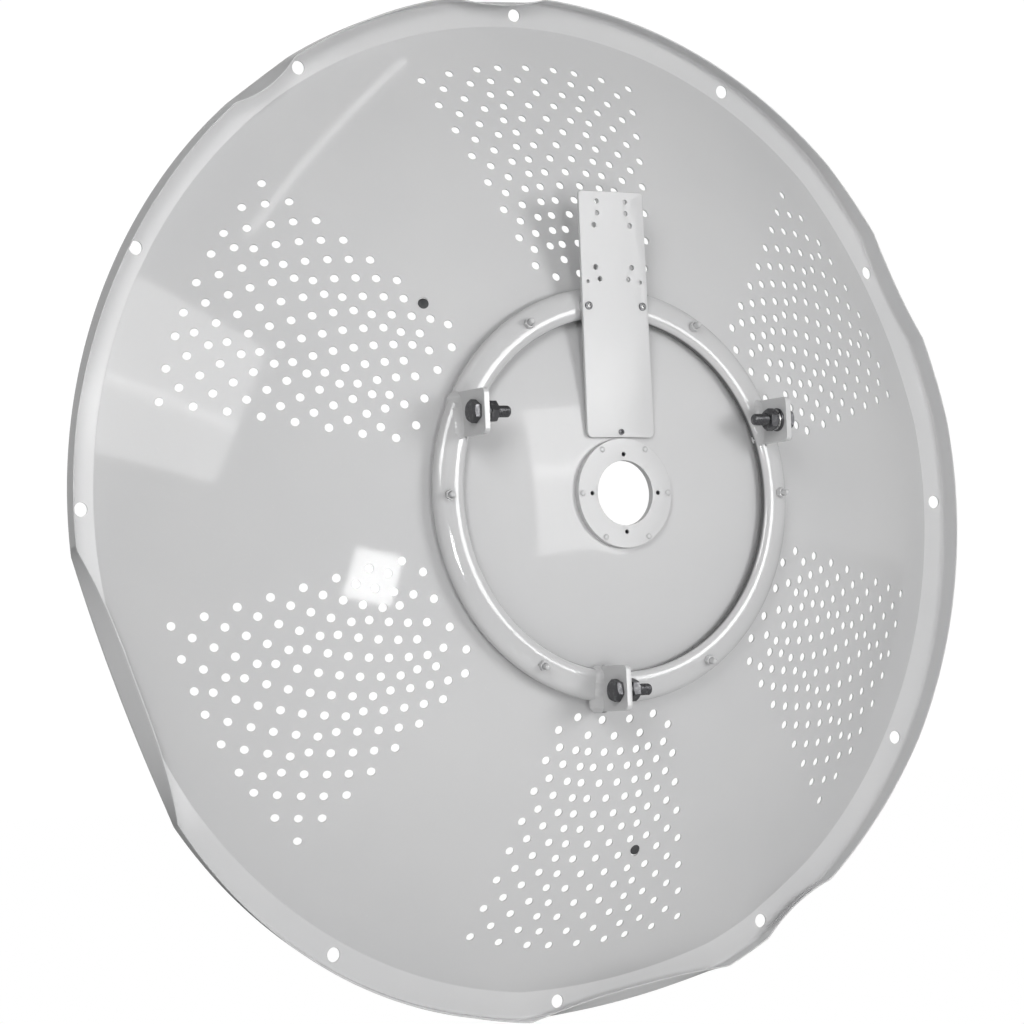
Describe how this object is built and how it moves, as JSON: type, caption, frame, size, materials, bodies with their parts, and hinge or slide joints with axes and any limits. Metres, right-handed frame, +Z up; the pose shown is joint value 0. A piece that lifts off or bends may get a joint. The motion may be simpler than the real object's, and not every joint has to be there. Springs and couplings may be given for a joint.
{
  "type": "microwave dish antenna reflector",
  "caption": "Perforated parabolic reflector of a microwave dish antenna with a backing ring, mounting lugs, a hub and a radio plate on its convex back.",
  "frame": {"origin": "on the bolted face of the bottom lug, on its nut side, between the bolt and the backing ring, 6 mm above the middle of the lug", "axes": "+Y along the dish axis towards the open front of the bowl, +Z up, +X to the right when seen from behind the dish"},
  "size_m": [0.9001, 0.1797, 0.8941],
  "materials": {
    "reflector_paint": "satin powder coat, light grey",
    "ring_paint": "semi-gloss powder coat, light grey",
    "hub_paint": "satin powder coat, light grey",
    "plate_paint": "satin powder coat, light grey",
    "lug_paint": "satin powder coat, light grey",
    "small_hardware_paint": "satin, light grey",
    "dark_zinc": "dark zinc, slightly dull",
    "black_plastic": "matte"
  },
  "bodies": {
    "root": {"reflector_dish": "reflector_paint", "backing_ring_tube": "ring_paint", "hub_ring": "hub_paint", "hub_rivet_1": "small_hardware_paint", "hub_rivet_2": "small_hardware_paint", "hub_rivet_3": "small_hardware_paint", "hub_rivet_4": "small_hardware_paint", "hub_rivet_5": "small_hardware_paint", "hub_rivet_6": "small_hardware_paint", "radio_plate": "plate_paint", "plate_spacer_left": "small_hardware_paint", "plate_spacer_right": "small_hardware_paint", "plate_screw_left": "dark_zinc", "plate_screw_right": "dark_zinc", "plate_screw_foot": "dark_zinc", "lug_left": "lug_paint", "lug_right": "lug_paint", "lug_bottom": "lug_paint", "lug_bolt_left": "dark_zinc", "lug_bolt_right": "dark_zinc", "lug_bolt_bottom": "dark_zinc", "lug_nut_left": "dark_zinc", "lug_nut_right": "dark_zinc", "lug_nut_bottom": "dark_zinc", "lug_washer_left": "dark_zinc", "lug_washer_right": "dark_zinc", "lug_washer_bottom": "dark_zinc", "lug_spring_washer_left": "dark_zinc", "lug_spring_washer_right": "dark_zinc", "lug_spring_washer_bottom": "dark_zinc", "ring_stud_1": "small_hardware_paint", "ring_stud_2": "small_hardware_paint", "ring_stud_3": "small_hardware_paint", "ring_stud_4": "small_hardware_paint", "ring_stud_5": "small_hardware_paint", "ring_stud_6": "small_hardware_paint", "ring_nut_1": "small_hardware_paint", "ring_nut_2": "small_hardware_paint", "ring_nut_3": "small_hardware_paint", "ring_nut_4": "small_hardware_paint", "ring_nut_5": "small_hardware_paint", "ring_nut_6": "small_hardware_paint", "plug_upper_left": "black_plastic", "plug_lower_middle": "black_plastic"}
  },
  "joints": []
}
